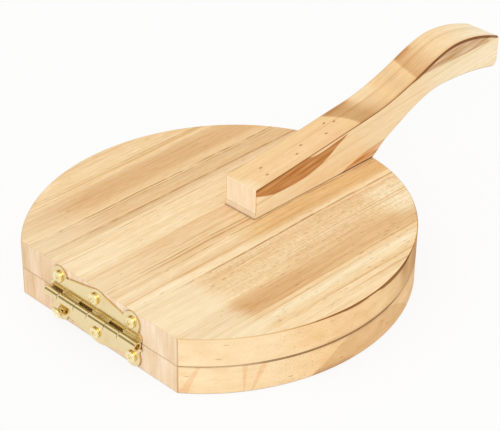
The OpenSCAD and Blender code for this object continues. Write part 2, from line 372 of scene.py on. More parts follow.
def sway(g, across, along, seed):
    """across, in millimetres, following a grain that runs straight but for a slight sway."""
    slow = g.noise(across * 0.02, along * 0.012, seed, 1.0)
    quick = g.noise(across * 0.12, along * 0.05, seed + 7.0, 1.0)
    return across + (slow - 0.5) * 2.2 + (quick - 0.5) * 0.6


def fibres(g, colour, across, along, up, seed, strength=1.0):
    """Streaks, thin late-wood lines and fine fibres along the grain: the colour and a height for the bump."""

    def grain(width, length, depth, offset, detail, roughness=0.5):
        point = (across * width, along * length, up * depth + (seed + offset))
        return g.noise(*point, detail, roughness)

    streaks = grain(0.5, 0.01, 0.1, 0.0, 2.0)
    fine = grain(2.4, 0.05, 0.6, 5.0, 3.0, 0.6)
    lines = g.rise(grain(0.8, 0.006, 0.1, 9.0, 1.0), 0.60, 0.70)
    mottle = grain(1.1, 0.22, 0.4, 13.0, 3.0, 0.65)
    for pattern, depth in ((streaks, 0.42), (mottle, 0.36), (fine, 0.55)):
        colour = g.shade(colour, pattern, strength * depth)
    colour = g.stain(colour, lines * strength * 0.5, LINE_TONE)
    return (colour, fine - lines * 0.3)


def flecks(g, across, along, up, density, seed):
    """Short dashes of resin canals along the grain, 1 in 0; density is 0 to 1."""
    stretched = g.vector(across * 1.2, along * 0.2, up * 0.6 + seed)
    cells = g.node("ShaderNodeTexVoronoi", {"Vector": stretched, "Scale": 1.0, "Randomness": 1.0})
    chance, size, _ = g.apart(cells.outputs["Color"])
    reach = size * 0.14 + 0.1
    dash = g.fall(Value(g, cells.outputs["Distance"]) / reach, 0.6, 1.25)
    return dash * g.math("LESS_THAN", chance, density)


def spot(g, x, y, centre, size, soft):
    """A soft oval of 1 in 0 about centre, in millimetres."""
    dx = (x - centre[0]) / size[0]
    dy = (y - centre[1]) / size[1]
    reach = g.math("SQRT", dx * dx + dy * dy)
    return g.fall(reach, 1.0 - soft, 1.0 + soft)


def flat_face(g, colour, rim, place, ny, seed):
    """Paints the flat face at the hinge, cut across the fibres: upright streaks, and a painted shadow behind
    the barrel.
    """
    x, y, z = place
    streaks = g.noise(x * 0.35, z * 0.04, seed, 3.0, 0.6)
    pores = g.noise(x * 3.0, z * 2.0, seed + 2.0, 2.0, 0.7)
    cut = g.shade(g.shade(g.bands(x, FLAT_BANDS), streaks, 0.9), pores, 0.3)
    behind = g.fall(abs(z - SEAM_Z), CUT_H, CUT_H + 0.3) * g.fall(abs(x), HINGE_L / 2 - 0.6, HINGE_L / 2)
    behind = behind * g.math("GREATER_THAN", y, 0.0)
    cut = g.paint(cut, behind * 0.95, SHADOW_TONE)
    return g.mix(g.rise(abs(ny), *END_TURN) * rim, colour, cut)


def rim_pores(g, colour, rim, y, z, seed):
    """Mottles the rims with pores, which show most towards the hinge."""
    cloud = g.noise(y * 0.16, z * 0.22, seed, 2.0)
    pores = g.noise(y * 1.5, z * 1.5, seed + 6.0, 2.0, 0.7)
    colour = g.shade(colour, g.between(rim, 0.5, cloud), 0.35)
    dots = rim * g.rise(pores, 0.6, 0.72) * g.within(y, 4, 40, 12) * 0.45
    return g.stain(g.shade(colour, g.between(rim, 0.5, pores), 0.22), dots, FLECK_TONE)


def seam_shade(g, colour, rim, y, z):
    """Painted shade: a dark line on both rims where the boards meet, stronger along their middle, with a soft
    wider shade on both sides of it there.
    """
    off = abs(z - SEAM_Z)
    line = g.fall(off, 0.2, 0.6) * g.between(g.within(y, -28, 44, 12), 0.35, 0.95)
    # glow is a soft painted shade on both sides of the seam, along its middle
    glow = g.fall(off, 0.3, 1.8) * g.within(y, -24, 24, 12) * 0.18
    return g.stain(colour, rim * g.either(line, glow), DEEP_SHADE)


def dark_corners(g, colour, ny, crevices):
    """Darkens the upright corners beside the flat face, and paints shade in the crevices by that share."""
    colour = g.stain(colour, g.within(ny, *CORNER_TURN) * 0.7, CORNER_TONE)
    # painted shade in the crevices
    return g.stain(colour, g.crevice(*GROOVE) * crevices, DEEP_SHADE)


def board_finish(g, colour, height, marks):
    height = height - marks * 0.8
    return g.finish(colour, 0.6, height, 0.05, Specular_IOR_Level=WOOD_SHEEN)


# Bands across the lid, from its right to its left: place in millimetres, colour
LID_BANDS = (
    (-67, STRAW), (-60, CREAM), (-55, STRAW), (-52, PALE), (-48, STRAW), (-45.5, TAN), (-42, TAN),
    (-38.5, HONEY), (-36.5, STRAW), (-30, CREAM), (-25, STRAW), (-22.5, (241, 206, 160)), (-19.5, CREAM),
    (-16.5, CREAM), (-13.5, HONEY), (-10.5, CREAM), (-8, STRAW), (-6, HONEY), (-4, STRAW),
    (-1.5, (240, 206, 160)), (6.2, HONEY), (7.6, CREAM), (21.5, CREAM), (26, DUST), (28, HONEY), (32, DUST),
    (35.5, STRAW), (39, TAN), (46, (225, 182, 131)), (53, STRAW), (67, (240, 205, 157)),
)
# Patches on the lid: from, to and softness across, the same along Y, strength, colour
FAR = 200       # beyond the lid's ends
LID_PATCHES = (
    ((-47.5, -37, 1.5), (-20, FAR, 34), 0.6, BROWN),
    ((-19, -6, 4), (-FAR, 8, 16), 0.6, (232, 187, 121)),    # golden, along the handle
    ((-42, -29, 4), (-48, 8, 14), 0.5, TAN),
    ((-44, -20, 6), (-FAR, -44, 10), 0.9, PALE),
)
# The most marked thin lines on the lid: place, strength
LID_LINES = (
    (54.2, 0.4), (34.6, 0.75), (33.3, 0.5), (26.6, 0.7), (21.8, 0.4), (-3.9, 0.7), (-5.4, 0.5), (-8.3, 0.5),
    (-19.2, 0.7),
)
PLANED_TONE = (236, 222, 206)
# Bands along the lid's rim, from the handle to the hinge
LID_RIM = (
    (-72, RUST), (-50, (200, 150, 98)), (-38, (204, 156, 104)), (-26, TAN), (-14, APRICOT),
    (6, (245, 205, 153)), (20, APRICOT), (34, CREAM), (60, CREAM),
)
# The scorched line along the rim's upper edge, on the left: place along Y, depth
LID_BURN = (
    (-42, 0.0), (-32, 0.5), (-27, 1.3), (-20, 1.6), (-12, 1.4), (-9, 0.8), (-6, 0.6), (-1, 0.9), (5, 1.1),
    (9, 0.8), (18, 0.45), (34, 0.0),
)
SMOKE_AT, SMOKE_SIZE = (-27, LID_TOP), (3, 6)


def lid_burn(g, colour, rim, place, nz):
    """Scorches the rim along its upper edge, with a brown haze under the deepest spot."""
    x, y, z = place
    left = g.fall(x, -20, -10)
    depth = g.line(y, LID_BURN)
    edge = g.rise(z - (LID_TOP - depth), -0.1, 0.35)
    burn = edge * g.rise(depth, 0.05, 0.5) * g.fall(nz, 0.8, 0.95) * left
    colour = g.paint(colour, burn * 0.85, BURN_TONE)
    return g.stain(colour, spot(g, y, z, SMOKE_AT, SMOKE_SIZE, 0.9) * rim * left * 0.3, BURN_TONE)


def lid_wood():
    g = new_graph("pine_lid")
    seed = 11.0
    x, y, z = place = g.place()
    _, ny, nz = g.normal()
    rim = g.fall(abs(nz), *RIM_TURN)
    across = sway(g, x + (z - LID_TOP) * 0.3, y, seed)
    colour = g.bands(across, LID_BANDS)
    for crosswise, lengthwise, strength, tone in LID_PATCHES:
        patch = g.within(across, *crosswise) * g.within(y, *lengthwise) * strength
        colour = g.paint(colour, patch, tone)
    waver = g.noise(x * 0.3, y * 0.12, seed + 2.0, 3.0)
    for at, strength in LID_LINES:
        thin = g.fall(abs(across - at), 0.1, 0.5)
        colour = g.stain(colour, thin * g.rise(waver, 0.3, 0.55) * strength, THIN_LINE_TONE)
    # the paler end at the hinge, with its ragged edge
    ragged = g.noise(x * 0.5, y * 0.02, seed, 3.0, 0.6)
    edge = y + (ragged - 0.5) * 16.0
    right_end = g.rise(edge, 29, 37) * g.fall(across, -18, -10) * 0.8
    left_end = g.rise(y, 20, 54) * g.rise(across, -18, -10) * 0.5
    pale_end = g.either(right_end, left_end)
    colour = g.mix(rim, g.paint(colour, pale_end, PALE), g.bands(y, LID_RIM))
    lane = g.between(rim, across, z * 0.6)
    strength = g.fall(rim, 0.0, 1.5) - pale_end * 0.5
    colour, height = fibres(g, colour, lane, y, z, seed, strength)
    colour = rim_pores(g, colour, rim, y, z, seed)
    # planer marks across the grain, and flecks along it
    planed = g.within(across, -38, -18.5, 2) * g.fall(edge, 22, 38) * g.fall(rim, 0.1, 0.5)
    hatch = g.noise(x * 0.55, y * 1.0, seed + 4.0, 3.0, 0.7)
    colour = g.shade(colour, g.between(planed, 0.5, hatch), 0.65)
    colour = g.stain(colour, planed * g.rise(y, -54, -44) * 0.25, PLANED_TONE)
    density = 0.1 + g.within(across, -64, -16, 8) * g.fall(edge, 28, 36) * 0.42
    marks = flecks(g, lane, y, z, density, seed)
    colour = g.stain(colour, marks * 0.45, FLECK_TONE)
    colour = lid_burn(g, colour, rim, place, nz)
    colour = seam_shade(g, colour, rim, y, z)
    colour = flat_face(g, colour, rim, place, ny, seed)
    # the rounded edges darker, less so towards the hinge
    edge_darkening = g.within(nz, 0.2, 0.985, 0.1) * g.between(g.rise(y, 10, 50), 1.0, 0.4)
    colour = g.stain(colour, edge_darkening, EDGE_TONE)
    # painted shade in the crevices, kept off the top face
    colour = dark_corners(g, colour, ny, g.fall(nz, 0.9, 0.99) * 0.6)
    return board_finish(g, colour, height, marks)


# Bands across the base, from its right to its left, and along its rim, from the handle to the hinge
BASE_BANDS = (
    (-67, HONEY), (-60, HONEY), (-57, STRAW), (-53, CREAM), (-50, STRAW), (-44, CREAM), (-42, TAN),
    (-40, STRAW), (-30, STRAW), (-22, CREAM), (-10, HONEY), (-4, CREAM), (8, STRAW), (20, TAN), (23, CREAM),
    (36, HONEY), (48, CREAM), (58, STRAW), (67, CREAM),
)
BASE_RIM = (
    (-72, BROWN), (-52, TAN), (-38, HONEY), (-20, APRICOT), (16, APRICOT), (32, CREAM), (60, CREAM),
)
# The edge of the tan heartwood that comes out on the rim: place along Y, height
BASE_HEART = (
    (-38, -3.0), (-33, 0.5), (-25, 6.5), (-16, 10.6), (-4, 12.5), (5.5, 10.6), (12, 6.5), (20, 0.8),
    (26, -3.0),
)
# Tapered stripes on the rim: place along Y and lean, half width at the bottom and its growth upwards
RIM_STRIPES = ((57.0, -0.32, 1.1, -0.05), (42.1, -0.03, 0.12, 0.07), (40.0, -0.35, 0.35, 0.08))
STRIPE_TONE = (250, 236, 228)


def base_wood():
    g = new_graph("pine_base")
    seed = 43.0
    x, y, z = place = g.place()
    _, ny, nz = g.normal()
    rim = g.fall(abs(nz), *RIM_TURN)
    across = sway(g, x + z * 0.3, y, seed)
    rim_colour = g.bands(y, BASE_RIM)
    for foot, lean, half, growth in RIM_STRIPES:
        aside = abs(y - (z * lean + foot))
        width = z * growth + half
        stripe = g.fall(aside / width, 0.6, 1.2)
        rim_colour = g.stain(rim_colour, stripe, STRIPE_TONE)
    wave = (g.noise(y * 0.15, z * 0.15, seed, 2.0) - 0.5) * 1.5
    heart = g.rise(g.line(y, BASE_HEART) - (z + wave), -0.2, 0.5)
    rim_colour = g.paint(rim_colour, heart * 0.85, TAN)
    corner = heart * g.fall(z, 0.3, 3.0) * g.within(y, 0, 26, 6) * 0.4
    rim_colour = g.stain(rim_colour, corner, FLECK_TONE)
    colour = g.mix(rim, g.bands(across, BASE_BANDS), rim_colour)
    lane = g.between(rim, across, z * 0.6)
    colour, height = fibres(g, colour, lane, y, z, seed, g.fall(rim, 0.0, 1.5))
    colour = rim_pores(g, colour, rim, y, z, seed)
    marks = flecks(g, lane, y, z, 0.12, seed)
    colour = g.stain(colour, marks * 0.5, FLECK_TONE)
    colour = seam_shade(g, colour, rim, y, z)
    colour = flat_face(g, colour, rim, place, ny, seed)
    colour = dark_corners(g, colour, ny, 0.8)
    return board_finish(g, colour, height, marks)


# The heartwood on the handle's near side: its lower edge as distance along -Y and height, and how far it lies
# under the handle's upper edge
WEDGE_LOW = (
    (9, 31.4), (12, 30.2), (16, 29.0), (24, 28.2), (35, 28.8), (42, 30.5), (45, 31.6), (48, 33.1),
    (50, 34.3), (53, 36.0), (56, 37.5), (58, 38.6),
)
WEDGE_GAP = ((8, 0.0), (30, 0.0), (36, 0.3), (43, 1.4), (50, 1.1), (59, 0.6))
WEDGE_COLOUR = (196, 138, 82)
# The upper edge of the heartwood at the heel
HEEL_TOP = ((54, 22.3), (60, 24.5), (66, 26.0), (72, 26.8), (79.5, 27.6))
HEEL_COLOUR = (228, 174, 123)
TIP_COLOUR = (206, 163, 122)
# Colours along the handle's top and its sides
GRIP_TOP = (
    (9, CREAM), (14, APRICOT), (61.6, APRICOT), (62.5, AMBER), (69, AMBER), (75, HONEY), (83, APRICOT),
    (90, HONEY), (95.7, APRICOT), (96.5, BROWN), (102, TAN), (109, STRAW), (122, CREAM), (132, PALE),
    (144, WHITISH),
)
GRIP_SIDE = ((8, PALE), (22, PALE), (40, CREAM), (95, CREAM), (110, PALE), (144, PALE))
WARM = (245, 204, 154)
BURNT_TOP_TONE = (214, 170, 128)
TOE_TONE = (233, 224, 214)
TURNED_SHADE_TONE = (180, 152, 120)
# Dark dots on the handle's top
HANDLE_DOTS = (
    (1.3, -20.5), (-3.3, -19.1), (-2.6, -34.9), (0.1, -39.7), (-2.0, -50.9), (3.1, -55.1), (1.1, -58.3),
)
DOT_SIZE = (0.35, 0.65)
# The scorched upper edge: distance along -Y, depth
HANDLE_SCORCH = ((8, 0.35), (90, 0.35), (98, 1.1), (140, 1.1), (145, 0.35))


def handle_top(g, far, x):
    """The handle's top: patches whose edges cross the grain at a slant."""
    inner = far + x * 0.43 + x * x * 0.03
    outer = far - x * 0.22
    colour = g.bands(g.between(g.rise(far, 72, 90), inner, outer), GRIP_TOP)
    colour = g.paint(colour, g.fall(x, 0.0, 4.0) * g.within(far, 12, 62, 6) * 0.6, WARM)
    colour = g.paint(colour, g.rise(x, 0.5, 3.0) * g.within(far, 71, 85, 4) * 0.7, CREAM)
    burnt = g.either(g.within(far, 57, 73, 4), g.within(far, 96.5, 107, 3))
    return g.stain(colour, burnt * g.rise(x, 4.0, 6.5) * 0.6, BURNT_TOP_TONE)


def handle_side(g, far, z, under_crest, near, seed):
    """The handle's sides, pale, with brown heartwood in three places on the near one."""
    feather = (g.noise(far * 0.08, z * 0.8, seed, 3.0) - 0.5) * 0.8
    level = z + feather
    wedge = g.rise(level - g.line(far, WEDGE_LOW), -0.2, 0.35) * g.within(far, 8, 58.5, 1)
    wedge = wedge * g.rise(under_crest - g.line(far, WEDGE_GAP), -0.3, 0.2)
    heel = g.fall(level - g.line(far, HEEL_TOP), -0.3, 0.3) * g.within(far, 53.5, 81, 1)
    tip = g.rise(level, 46.7, 47.2) * g.within(far, 96, 140, 4)
    colour = g.bands(far, GRIP_SIDE)
    patches = ((wedge, 1.0, WEDGE_COLOUR), (heel, 0.9, HEEL_COLOUR), (tip, 0.8, TIP_COLOUR))
    for patch, strength, tone in patches:
        colour = g.paint(colour, patch * near * strength, tone)
    streaks = g.noise(far * 0.05, (z - far * 0.12) * 0.7, seed + 2.0, 3.0)
    heart = g.either(wedge, heel, tip) * near
    return g.shade(colour, g.between(heart, 0.5, streaks), 2.4)


def handle_wood():
    g = new_graph("pine_handle")
    seed = 71.0
    x, y, z = g.place()
    nx, ny, nz = g.normal()
    far = -y
    near_x = -nx    # 1 on the side that the photograph shows
    top = g.rise(nz, 0.5, 0.8)
    under_crest = g.line(far, handle_crest()) - z
    side_colour = handle_side(g, far, z, under_crest, g.rise(near_x, 0.3, 0.6), seed)
    colour = g.mix(top, side_colour, handle_top(g, far, x))
    level = g.between(top, z - far * 0.1, x)
    colour, height = fibres(g, colour, level, far, x * 0.3, seed, 0.7)
    dots = g.either(*[spot(g, x, y, centre, DOT_SIZE, 0.5) for centre in HANDLE_DOTS])
    colour = g.stain(colour, dots * top * 0.8, FLECK_TONE)
    # cut ends: the face over the lid, with its darker toe, and the tip
    ends = g.rise(abs(ny), 0.75, 0.97)
    end_colour = g.shade(linear(WHITISH), g.noise(x * 0.5, z * 0.1, seed, 3.0), 0.4)
    end_colour = g.stain(end_colour, g.fall(z, LID_TOP + 2.1, LID_TOP + 2.5), TOE_TONE)
    colour = g.mix(ends, colour, end_colour)
    # the scorched upper edge on the near side, and a painted shadow line round the foot
    scorch = g.fall(under_crest - g.line(far, HANDLE_SCORCH), -0.3, 0.2)
    colour = g.stain(colour, scorch * g.rise(near_x, 0.2, 0.5) * 0.85, BURN_TONE)
    foot = g.fall(z, LID_TOP + 0.3, LID_TOP + 0.75) * g.between(g.within(far, 50, 80, 6), 0.5, 1.0)
    colour = g.stain(colour, foot * g.fall(top, 0.3, 0.6), DEEP_SHADE)
    # edges: both long ones darkened, and painted shade on those that turn under or away
    aside = abs(nx)
    colour = g.stain(colour, g.within(aside, 0.15, 0.95, 0.2) * 0.7, EDGE_TONE)
    turned = g.either(g.fall(nz, -0.3, -0.03), g.fall(ny, -0.3, -0.03)) * g.rise(aside, 0.4, 0.7)
    colour = g.stain(colour, turned * 0.6, TURNED_SHADE_TONE)
    # painted shade in the handle's crevices
    colour = g.stain(colour, g.crevice(*GROOVE) * 0.2, DEEP_SHADE)
    return g.finish(colour, 0.58, height, 0.04, Specular_IOR_Level=WOOD_SHEEN)


# ---- Metal


def brass_metal(name, colour, rough, seed, crevice_shade, flank=False):
    """Brass, faintly streaked and tarnished, with painted shade in its crevices by the share crevice_shade.
    With flank, its sides square to the leaf get a painted shade of deeper gold."""
    g = new_graph(name)
    x, y, z = g.place()
    cloud = g.noise(x * 0.16, y * 0.16, z * 0.16 + seed, 3.0, 0.6)
    rolled = g.noise(x * 0.09, y * 2.5, z * 2.5 + seed, 2.0, 0.6)
    tone = g.paint(linear(colour), g.rise(cloud, 0.45, 0.75) * 0.3, GILT)
    # painted shade: with flank, the sides square to the leaf turn a deeper gold
    if flank:
        tone = g.paint(tone, g.fall(g.normal()[1], 0.3, 0.85) * 0.4, GILT)
    # painted shade in the crevices: gold in the wider ones, olive in the narrowest
    tone = g.paint(tone, g.crevice(1.6, 0.2, 0.7) * crevice_shade * 0.4, GILT)
    tone = g.paint(tone, g.crevice(0.3, 0.0, 0.35) * crevice_shade, OLIVE_SHADE)
    gloss = rough + (cloud - 0.5) * 0.12 + (rolled - 0.5) * 0.06
    return g.finish(tone, gloss, rolled, 0.004, Metallic=1.0)


def steel_metal():
    g = new_graph("zinc_steel")
    x, y, z = g.place()
    cloud = g.noise(x * 0.9, y * 0.9, z * 0.9, 3.0, 0.6)
    tone = g.mix(g.rise(cloud, 0.4, 0.7), linear(STEEL), linear(DULL_STEEL))
    return g.finish(tone, 0.28 + cloud * 0.15, cloud, 0.006, Metallic=1.0)


# ---- Meshes


def place_object(name, data):
    """A new object in the scene."""
    made = bpy.data.objects.new(name, data)
    bpy.context.scene.collection.objects.link(made)
    return made


def mesh_of(bm, name):
    """Turns bm into a mesh whose normals point outwards, and frees it."""
    bmesh.ops.recalc_face_normals(bm, faces=bm.faces)
    mesh = bpy.data.meshes.new(name)
    bm.to_mesh(mesh)
    bm.free()
    return mesh


def loft(bm, one, other):
    """Faces between two closed rings with as many vertices."""
    count = len(one)
    for i in range(count):
        j = (i + 1) % count
        bm.faces.new((one[i], one[j], other[j], other[i]))


def add_piece(name, mesh, body, nodes, material):
    """Puts a mesh in the scene as a visible piece that rides on a body and replaces the CAD's nodes."""
    piece = place_object(name, mesh)
    mesh.materials.append(material)
    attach(piece, body)
    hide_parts(*nodes)
    return piece


SHARP_ANGLE = math.radians(25)  # edges of a prism that turn more than this are rounded


def soften(piece, width, segments=3, angle=30, weights=False):
    """Rounds the sharp edges by width in millimetres and evens out the shading."""
    bevel = piece.modifiers.new("rounding", "BEVEL")
    bevel.width = width * MM
    bevel.segments = segments
    bevel.limit_method = "WEIGHT" if weights else "ANGLE"
    bevel.angle_limit = math.radians(angle)
    bevel.use_clamp_overlap = True
    even = piece.modifiers.new("even_shading", "WEIGHTED_NORMAL")
    even.keep_sharp = True
    even.weight = 100
    for polygon in piece.data.polygons:
        polygon.use_smooth = True


def prism(outline, start, end, place, weigh=None):
    """Mesh of an outline pulled from start to end. place turns (u, v, w) into a point in millimetres,
    weigh gives the bevel weight of an edge from its two points."""
    bm = bmesh.new()
    rings = [[bm.verts.new(Vector(place(u, v, w)) * MM) for u, v in outline] for w in (start, end)]
    loft(bm, *rings)
    bm.faces.new(rings[0][::-1])
    bm.faces.new(rings[1])
    bmesh.ops.recalc_face_normals(bm, faces=bm.faces)
    if weigh:
        layer = bm.edges.layers.float.new("bevel_weight_edge")
        for edge in bm.edges:
            if edge.calc_face_angle(0) > SHARP_ANGLE:
                edge[layer] = weigh(*[v.co / MM for v in edge.verts])
    return mesh_of(bm, "prism")


def cubic(p, q, slope_p, slope_q, steps=24):
    """Points from p to q, leaving p at slope_p and reaching q at slope_q."""
    third = (q[0] - p[0]) / 3
    a, b = (p[0] + third, p[1] + third * slope_p), (q[0] - third, q[1] - third * slope_q)
    points = []
    for i in range(steps + 1):
        t = i / steps
        s = 1 - t
        weights = (s * s * s, 3 * s * s * t, 3 * s * t * t, t * t * t)
        points.append(tuple(sum(w * c[k] for w, c in zip(weights, (p, a, b, q))) for k in (0, 1)))
    return points


def arc(centre, radius, start, end, steps):
    """Points on an arc, from angle start to angle end in degrees."""
    angles = [math.radians(start + (end - start) * i / steps) for i in range(steps + 1)]
    return [(centre[0] + radius * math.cos(a), centre[1] + radius * math.sin(a)) for a in angles]


RIM_STEPS = 240
EDGE_ROUND = 0.5
SEAM_ROUND = 0.28


def board_outline():
    """The oval, cut off straight at the hinge edge."""
    cut = math.asin(FLAT_Y / (OVAL_L / 2))
    angles = [math.pi - cut + (math.pi + 2 * cut) * i / RIM_STEPS for i in range(RIM_STEPS + 1)]
    return [(PLATE_W / 2 * math.cos(a), OVAL_L / 2 * math.sin(a)) for a in angles]


def board_mesh(low, high):
    def weigh(a, b):
        at_seam = max(abs(a.z - SEAM_Z), abs(b.z - SEAM_Z)) < NEAR
        return SEAM_ROUND / EDGE_ROUND if at_seam else 1.0

    return prism(board_outline(), low, high, lambda u, v, w: (u, v, w), weigh)


HINGE_SCREW_TURNS = {"left": 20, "centre": 52, "right": 8}


def hinge_screw_place(level, side):
    """Places a hinge screw: local z = 0 is the outer face of the leaf, and the head points along +z."""
    x = {"left": LUG_AT, "centre": 0.0, "right": -LUG_AT}[side]
    z = SEAM_Z + (SCREW_H if level == "upper" else -SCREW_H)
    loose = (level, side) == ("lower", "left")
    tilt = LOOSE_TILT if loose else 0.0
    turn = Matrix.Rotation(math.radians(-90 - tilt), 4, "X")
    place = Matrix.Translation((x, FLAT_Y + SHEET_T / 2, z)) @ turn
    return place @ Matrix.Translation((0, 0, SHEET_T / 2)), LOOSE_OUT if loose else 0.0


def drill(piece, profile, places):
    """Cuts one turned profile out of a piece at each of the places."""
    for place in places:
        carve(piece, place_object("cutter", turned_mesh(profile, SCREW_SIDES, place)))


def drill_hinge_holes(piece, level, radius, bottom, top):
    hole = [(0.0, bottom), (radius, bottom), (radius, top), (0.0, top)]
    drill(piece, hole, [hinge_screw_place(level, side)[0] for side in HINGE_SCREW_TURNS])


def make_boards():
    base = add_piece("base_board", board_mesh(0, BOARD_T), "base", ["base_plate"], base_wood())
    lid = add_piece("lid_board", board_mesh(BOARD_T, LID_TOP), "lid", ["lid_plate"], lid_wood())
    drill_hinge_holes(base, "lower", SHANK_R + HOLE_GAP, -SHANK_L, 0.5)
    drill_hinge_holes(lid, "upper", SHANK_R + HOLE_GAP, -SHANK_L, 0.5)
    head, shank = SUNK_HEAD_R + HOLE_GAP, WOOD_SCREW_R + HOLE_GAP
    sunk = [(0.0, -1.0), (head, -1.0), (head, HEAD_SINK), (shank, HEAD_SINK + SUNK_HEAD_H)]
    sunk += [(shank, BOARD_T + 1.0), (0.0, BOARD_T + 1.0)]
    drill(lid, sunk, [Matrix.Translation((0, y, SEAM_Z)) for y in HANDLE_SCREWS_Y])
    for board in (base, lid):
        soften(board, EDGE_ROUND, 4, weights=True)


HANDLE_ROUND = 0.5
FOOT_ROUND = 0.15


def handle_upper():
    """The handle's upper edge from tip to inner end: distance beyond the rim, height above the lid."""
    brow_r, tip_top_h, tip_top_slope = 2.0, 25.8, -0.4
    crest, neck, neck_slope = (46.0, 31.2), (26.0, 26.0), 0.41
    shoulder, shoulder_slope = (-4.0, 18.0), 0.11
    front, front_slope = (TOE_OUT - FOOT_L, 11.6), 0.09
    brow_angle = 90 + math.degrees(math.atan(tip_top_slope))
    brow = (GRIP_REACH - brow_r, tip_top_h - brow_r * math.sin(math.radians(brow_angle)))
    brow_arc = arc(brow, brow_r, 0, brow_angle, 8)
    return (
        brow_arc
        + cubic(brow_arc[-1], crest, tip_top_slope, 0)[1:]
        + cubic(crest, neck, 0, neck_slope)[1:]
        + cubic(neck, shoulder, neck_slope, shoulder_slope)[1:]
        + cubic(shoulder, front, shoulder_slope, front_slope)[1:]
    )


def handle_outline():
    """Side view of the handle: distance beyond the rim, height above the lid."""
    toe_h, toe_rim = 2.3, 0.7
    heel, heel_slope, belly_slope = (6.3, 5.1), 0.55, 0.5
    arch, tip_low_slope = (38.0, 16.5), -0.24
    tip_r, tip_low = 2.4, (GRIP_REACH - 2.4, 12.8)
    return (
        [(-FOOT_L, 0.0)]
        + cubic((-0.5, 0.0), heel, 0.6, heel_slope, 12)
        + cubic(heel, arch, belly_slope, 0)[1:]
        + cubic(arch, tip_low, 0, tip_low_slope)[1:]
        + arc((tip_low[0], tip_low[1] + tip_r), tip_r, -90, 0, 8)[1:]
        + handle_upper()
        + [(TOE_OUT - FOOT_L, toe_h), (-FOOT_L, toe_rim)]
    )


def handle_crest():
    """Some points of the handle's upper edge, from the hinge outwards: distance along -Y, height."""
    points = handle_upper()[:7:-6]
    return [(u - RIM_Y, LID_TOP + v) for u, v in points]


def make_handle():
    def weigh(a, b):
        on_foot = a.z < LID_TOP + 0.05 and b.z < LID_TOP + 0.05
        return FOOT_ROUND / HANDLE_ROUND if on_foot else 1.0

    mesh = prism(
        handle_outline(), -HANDLE_W / 2, HANDLE_W / 2, lambda u, v, w: (w, RIM_Y - u, LID_TOP + v), weigh
    )
    handle = add_piece("lever_handle", mesh, "lid", ["handle"], handle_wood())
    soften(handle, HANDLE_ROUND, 4, weights=True)


# ---- Hinge

BEND_R = 0.78       # middle line of the bend from the flat sheet into the roll
CUT_H = 1.9         # height of the leaf's lower edge above the pin
ROLL_END = -215     # angle at which the rolled sheet ends
SHEET_ROUND = 0.14
LUG_ANGLE = 20      # where the flare meets the lug
WAIST_SHARE, FLARE_SHARE, FLARE_REACH = 0.18, 0.44, 0.86
PEAK_X, PEAK_HALF, PEAK_DROP = -1.2, 3.4, 0.7  # the leaf's peak, its rounding and how far that falls
ROLL_TAPER = 0.05   # the rolls narrow a little towards -X
PINCH_STEPS = 10
# How the upper knuckles are drawn in: distance from the +X end, share
DRAWN_IN = ((0.0, 0.1), (0.3, 0.03), (0.8, 0.0))


def leaf_top_edge():
    """The leaf's outline from its lower right corner over both lugs to its lower left corner."""
    half = HINGE_L / 2
    bare = SCREW_H - BARREL_R
    valley = (LUG_AT - LUG_R - VALLEY_GAP, LEAF_H - VALLEY_D)
    lug = (LUG_AT, SCREW_H)
    leave = math.degrees(math.atan2(valley[1] - lug[1], valley[0] - lug[0]))
    side = [(half, CUT_H), (half, BARREL_R + WAIST_SHARE * bare)]
    side.append((LUG_AT + FLARE_REACH * LUG_R, BARREL_R + FLARE_SHARE * bare))
    side += arc(lug, LUG_R, -LUG_ANGLE, leave, 30)
    peak = (PEAK_X, LEAF_H)
    rounded = []
    for flank in (1, -1):
        foot = (PEAK_X + flank * PEAK_HALF, LEAF_H - PEAK_DROP)
        slope = (valley[1] - foot[1]) / (flank * valley[0] - foot[0])
        rounded.append(cubic(peak, foot, 0.0, slope, 8))
    return side + rounded[0][::-1] + rounded[1][1:] + [(-u, v) for u, v in side[::-1]]


def roll_profile():
    """Both faces of the sheet from the leaf's lower edge round the pin: outer points, then inner points.
    Each is (distance from the wood, height above the pin)."""
    half_t = SHEET_T / 2
    roll_r = BORE_R + half_t
    bend_z = math.sqrt((BEND_R + roll_r) ** 2 - (PIN_OUT - half_t - BEND_R) ** 2)
    bend_c = (half_t + BEND_R, bend_z)
    join = math.degrees(math.atan2(bend_z, bend_c[0] - PIN_OUT))
    outer, inner = [], []
    for r, points in ((BEND_R - half_t, outer), (BEND_R + half_t, inner)):
        points += arc(bend_c, r, 180, join + 180, 6)
    for r, points in ((roll_r + half_t, outer), (roll_r - half_t, inner)):
        points += arc((PIN_OUT, 0.0), r, join, ROLL_END, 36)[1:]
    return outer, inner


def pinched(point, k, share):
    """Point k of the roll's outside, drawn towards the pin by that share."""
    share *= min(1.0, k / PINCH_STEPS)
    return (PIN_OUT + (point[0] - PIN_OUT) * (1 - share), point[1] * (1 - share))


